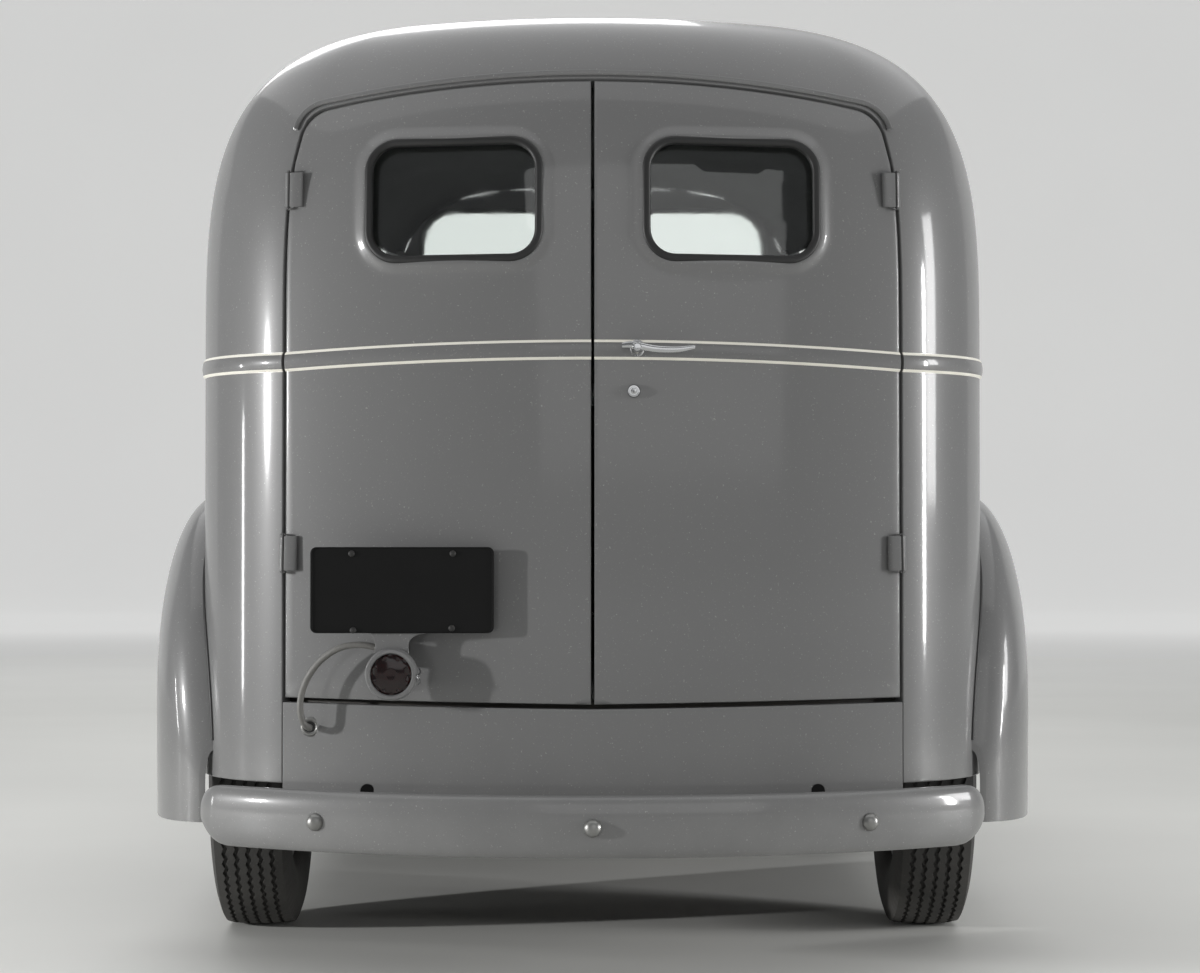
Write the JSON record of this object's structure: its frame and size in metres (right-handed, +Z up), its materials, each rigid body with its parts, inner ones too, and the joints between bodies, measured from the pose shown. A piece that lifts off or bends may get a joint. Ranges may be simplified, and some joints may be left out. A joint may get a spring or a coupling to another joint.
{
  "type": "panel delivery van",
  "caption": "Half-ton panel delivery van of the 1940s with rounded body, double rear doors, cab doors, hood, separate fenders, steered front wheels and a hollow load space.",
  "frame": {"origin": "on the ground below the middle of the van's length and width", "axes": "+Y is the way the van drives, +X is its right side, +Z is up"},
  "size_m": [1.8536, 4.796, 1.95],
  "materials": {
    "body_paint": "semi-gloss grey enamel",
    "chassis": "black chassis paint",
    "engine": "dull cast metal",
    "floor": "dark floor paint",
    "lamp": "bright ring and clear lens",
    "plate": "blank black enamel",
    "step": "black ribbed rubber on steel",
    "seat": "dark imitation leather",
    "black_plastic": "black hard rubber",
    "tail_lamp": "painted housing with a dark red lens",
    "cable": "grey sheath",
    "tyre": "matte black rubber",
    "wheel": "grey enamel with a bright cap",
    "glass": "clear flat glass"
  },
  "bodies": {
    "van": {"body_side_left": "body_paint", "body_side_right": "body_paint", "cowl": "body_paint", "engine_block": "engine", "exhaust": "chassis", "floor_pan": "floor", "frame": "chassis", "front_axle": "chassis", "front_bumper": "body_paint", "front_fender_left": "body_paint", "front_fender_right": "body_paint", "fuel_tank": "chassis", "grille": "body_paint", "headlamp_left": "lamp", "headlamp_right": "lamp", "radiator": "engine", "rear_apron": "body_paint", "rear_axle": "chassis", "rear_bumper": "body_paint", "rear_fender_left": "body_paint", "rear_fender_right": "body_paint", "roof": "body_paint", "running_board_left": "step", "running_board_right": "step", "seat": "seat", "steering_wheel": "black_plastic", "windshield_left": "glass", "windshield_right": "glass"},
    "left_rear_door": {"rear_door_left": "body_paint", "rear_glass_left": "glass", "number_plate": "plate", "tail_lamp": "tail_lamp", "tail_lamp_cable": "cable"},
    "right_rear_door": {"rear_door_right": "body_paint", "rear_glass_right": "glass"},
    "left_cab_door": {"cab_door_left": "body_paint", "cab_glass_left": "glass"},
    "right_cab_door": {"cab_door_right": "body_paint", "cab_glass_right": "glass"},
    "hood_lid": {"hood": "body_paint"},
    "left_knuckle": {"knuckle_left": "chassis"},
    "right_knuckle": {"knuckle_right": "chassis"},
    "steering_tie_rod": {"tie_rod": "chassis"},
    "front_left_wheel": {"tyre_front_left": "tyre", "wheel_front_left": "wheel"},
    "front_right_wheel": {"tyre_front_right": "tyre", "wheel_front_right": "wheel"},
    "rear_left_wheel": {"tyre_rear_left": "tyre", "wheel_rear_left": "wheel"},
    "rear_right_wheel": {"tyre_rear_right": "tyre", "wheel_rear_right": "wheel"}
  },
  "joints": [
    {"name": "left_rear_door_hinge", "type": "hinge", "parent": "van", "child": "left_rear_door", "pos_m": [-0.607, -2.127, 0.831], "axis": [-0.0127, -0.0139, -0.9998], "range_deg": [0, 105]},
    {"name": "right_rear_door_hinge", "type": "hinge", "parent": "van", "child": "right_rear_door", "pos_m": [0.607, -2.127, 0.831], "axis": [-0.0127, 0.0139, 0.9998], "range_deg": [0, 105]},
    {"name": "left_cab_door_hinge", "type": "hinge", "parent": "van", "child": "left_cab_door", "pos_m": [-0.6314, 0.6, 0.64], "axis": [0, 0, -1], "range_deg": [0, 65]},
    {"name": "right_cab_door_hinge", "type": "hinge", "parent": "van", "child": "right_cab_door", "pos_m": [0.6314, 0.6, 0.64], "axis": [0, 0, 1], "range_deg": [0, 65]},
    {"name": "hood_hinge", "type": "hinge", "parent": "van", "child": "hood_lid", "pos_m": [0, 0.806, 1.274], "axis": [1, 0, 0], "range_deg": [0, 45]},
    {"name": "left_steering", "type": "hinge", "parent": "van", "child": "left_knuckle", "pos_m": [-0.6265, 1.598, 0.357], "axis": [0, 0, 1], "range_deg": [-28, 28]},
    {"name": "right_steering", "type": "hinge", "parent": "van", "child": "right_knuckle", "pos_m": [0.6265, 1.598, 0.357], "axis": [0, 0, 1], "range_deg": [-28, 28]},
    {"name": "tie_rod_pivot", "type": "hinge", "parent": "left_knuckle", "child": "steering_tie_rod", "pos_m": [-0.6, 1.448, 0.273], "axis": [0, 0, 1], "range_deg": [-28, 28]},
    {"name": "front_left_wheel_spin", "type": "hinge", "parent": "left_knuckle", "child": "front_left_wheel", "pos_m": [-0.7365, 1.598, 0.357], "axis": [1, 0, 0], "continuous": true},
    {"name": "front_right_wheel_spin", "type": "hinge", "parent": "right_knuckle", "child": "front_right_wheel", "pos_m": [0.7365, 1.598, 0.357], "axis": [1, 0, 0], "continuous": true},
    {"name": "rear_left_wheel_spin", "type": "hinge", "parent": "van", "child": "rear_left_wheel", "pos_m": [-0.7365, -1.298, 0.357], "axis": [1, 0, 0], "continuous": true},
    {"name": "rear_right_wheel_spin", "type": "hinge", "parent": "van", "child": "rear_right_wheel", "pos_m": [0.7365, -1.298, 0.357], "axis": [1, 0, 0], "continuous": true}
  ],
  "couplings": [
    {"joint": "right_steering", "follows": "left_steering", "ratio": 1},
    {"joint": "tie_rod_pivot", "follows": "left_steering", "ratio": -1}
  ]
}
